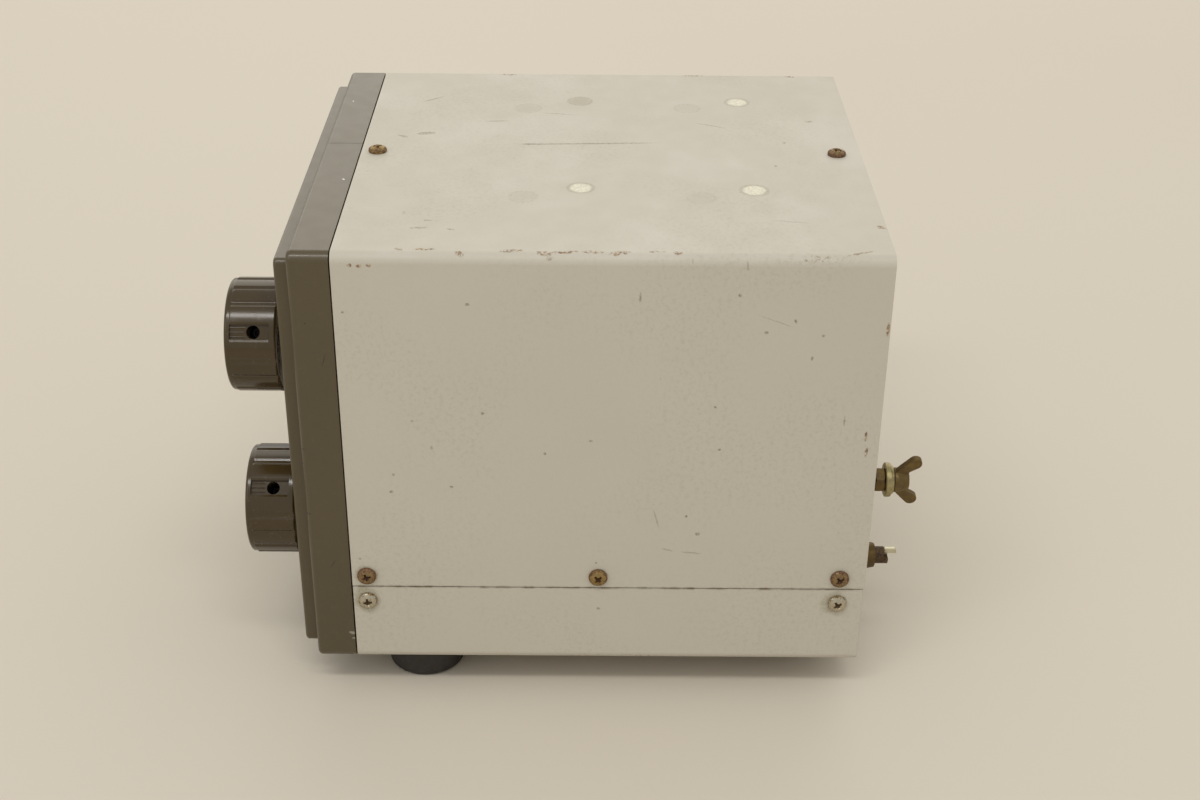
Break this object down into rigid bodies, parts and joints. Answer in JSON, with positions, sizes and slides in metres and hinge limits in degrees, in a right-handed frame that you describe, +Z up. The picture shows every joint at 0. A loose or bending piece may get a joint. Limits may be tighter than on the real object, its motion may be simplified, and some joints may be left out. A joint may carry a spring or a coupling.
{
  "type": "function generator",
  "caption": "Bench function generator in a folded sheet-metal case, with a painted front frame, fluted clamp knobs, a frequency dial, push keys, coaxial outputs and a rear ground terminal.",
  "frame": {"origin": "middle of the overall footprint, at the height of the feet's soles", "axes": "+Z up, +Y from the front panel to the rear panel, +X to the right as seen from the front"},
  "size_m": [0.1772, 0.2312, 0.1701],
  "materials": {
    "cover_paint": "fine textured warm grey enamel, worn on the edges",
    "frame_paint": "satin olive-brown paint",
    "panel_paint": null,
    "chassis_steel": "zinc-plated sheet",
    "rusty_screw": "plating turned brown and rusty",
    "bright_screw": "dull nickel plating",
    "foot_rubber": "matt charcoal rubber",
    "knob_plastic": "dark grey-brown moulding, satin",
    "set_screw": "blackened steel",
    "control_body": "pressed steel",
    "shaft_metal": "turned",
    "trim_shaft_metal": "dull turned metal",
    "dial_metal": null,
    "key_plastic": "cream moulding",
    "power_plastic": "dark red moulding",
    "switch_plastic": "black moulding",
    "lamp_lens": "clear red lens",
    "jack_nickel": "nickel plating",
    "terminal_brass": "tarnished brass",
    "terminal_washer": "dull plating",
    "trim_nut_brass": "dark tarnished brass",
    "transformer_iron": "varnished laminations",
    "board_laminate": "green laminate"
  },
  "bodies": {
    "case": {"upper_cover": "cover_paint", "lower_cover": "cover_paint", "rear_panel": "cover_paint", "front_frame": "frame_paint", "front_panel": "panel_paint", "sub_panel": "chassis_steel", "left_side_rail": "chassis_steel", "right_side_rail": "chassis_steel", "chassis_plate": "chassis_steel", "top_cover_screw_front": "rusty_screw", "top_cover_screw_rear": "rusty_screw", "range_switch": "control_body", "level_potentiometer": "control_body", "frequency_potentiometer": "control_body", "offset_potentiometer": "control_body", "trim_potentiometer": "control_body", "waveform_switch": "switch_plastic", "power_switch": "switch_plastic", "pilot_lamp": "lamp_lens", "main_output_jack": "jack_nickel", "sync_output_jack": "jack_nickel", "ground_stud": "terminal_brass", "ground_collar": "terminal_brass", "ground_washer": "terminal_washer", "trim_nut": "trim_nut_brass", "fuse_holder": "switch_plastic", "power_inlet": "switch_plastic", "power_transformer": "transformer_iron", "main_board": "board_laminate", "upper_cover_screw_left_front": "rusty_screw", "upper_cover_screw_left_middle": "rusty_screw", "upper_cover_screw_left_rear": "rusty_screw", "lower_cover_screw_left_front": "bright_screw", "lower_cover_screw_left_rear": "bright_screw", "foot_front_left": "foot_rubber", "foot_rear_left": "foot_rubber", "upper_cover_screw_right_front": "rusty_screw", "upper_cover_screw_right_middle": "rusty_screw", "upper_cover_screw_right_rear": "rusty_screw", "lower_cover_screw_right_front": "bright_screw", "lower_cover_screw_right_rear": "bright_screw", "foot_front_right": "foot_rubber", "foot_rear_right": "foot_rubber"},
    "range_control": {"range_knob": "knob_plastic", "range_set_screw": "set_screw", "range_shaft": "shaft_metal"},
    "level_control": {"level_knob": "knob_plastic", "level_set_screw": "set_screw", "level_shaft": "shaft_metal"},
    "frequency_control": {"frequency_knob": "knob_plastic", "frequency_dial": "dial_metal", "frequency_shaft": "shaft_metal"},
    "offset_control": {"offset_knob": "knob_plastic"},
    "sine_key": {"sine_key": "key_plastic"},
    "triangle_key": {"triangle_key": "key_plastic"},
    "square_key": {"square_key": "key_plastic"},
    "power_button": {"power_button": "power_plastic"},
    "ground_wing_nut": {"ground_wing_nut": "terminal_brass"},
    "trim_control": {"trim_shaft": "trim_shaft_metal"},
    "fuse_cap": {"fuse_cap": "switch_plastic"}
  },
  "joints": [
    {"name": "range_turn", "type": "hinge", "parent": "case", "child": "range_control", "pos_m": [0.0604, -0.1063, 0.1269], "axis": [0, 1, 0], "range_deg": [-90, 90]},
    {"name": "level_turn", "type": "hinge", "parent": "case", "child": "level_control", "pos_m": [0.0604, -0.1063, 0.0628], "axis": [0, 1, 0], "range_deg": [-150, 150]},
    {"name": "frequency_turn", "type": "hinge", "parent": "case", "child": "frequency_control", "pos_m": [-0.03, -0.1063, 0.111], "axis": [0, 1, 0], "range_deg": [-150, 150]},
    {"name": "offset_turn", "type": "hinge", "parent": "case", "child": "offset_control", "pos_m": [0.022, -0.1003, 0.071], "axis": [0, 1, 0], "range_deg": [-150, 150]},
    {"name": "sine_press", "type": "slide", "parent": "case", "child": "sine_key", "axis": [0, 1, 0], "range_m": [0, 0.004], "stiffness_N_per_m": 300},
    {"name": "triangle_press", "type": "slide", "parent": "case", "child": "triangle_key", "axis": [0, 1, 0], "range_m": [0, 0.004], "stiffness_N_per_m": 300},
    {"name": "square_press", "type": "slide", "parent": "case", "child": "square_key", "axis": [0, 1, 0], "range_m": [0, 0.004], "stiffness_N_per_m": 300},
    {"name": "power_press", "type": "slide", "parent": "case", "child": "power_button", "axis": [0, 1, 0], "range_m": [0, 0.004], "stiffness_N_per_m": 300},
    {"name": "wing_nut_turn", "type": "hinge", "parent": "case", "child": "ground_wing_nut", "pos_m": [0.066, 0.1087, 0.0753], "axis": [0, -1, 0], "continuous": true},
    {"name": "trim_turn", "type": "hinge", "parent": "case", "child": "trim_control", "pos_m": [0.066, 0.1057, 0.0442], "axis": [0, -1, 0], "range_deg": [-150, 150]},
    {"name": "fuse_cap_turn", "type": "hinge", "parent": "case", "child": "fuse_cap", "pos_m": [-0.012, 0.1017, 0.065], "axis": [0, -1, 0], "range_deg": [-45, 0]}
  ]
}
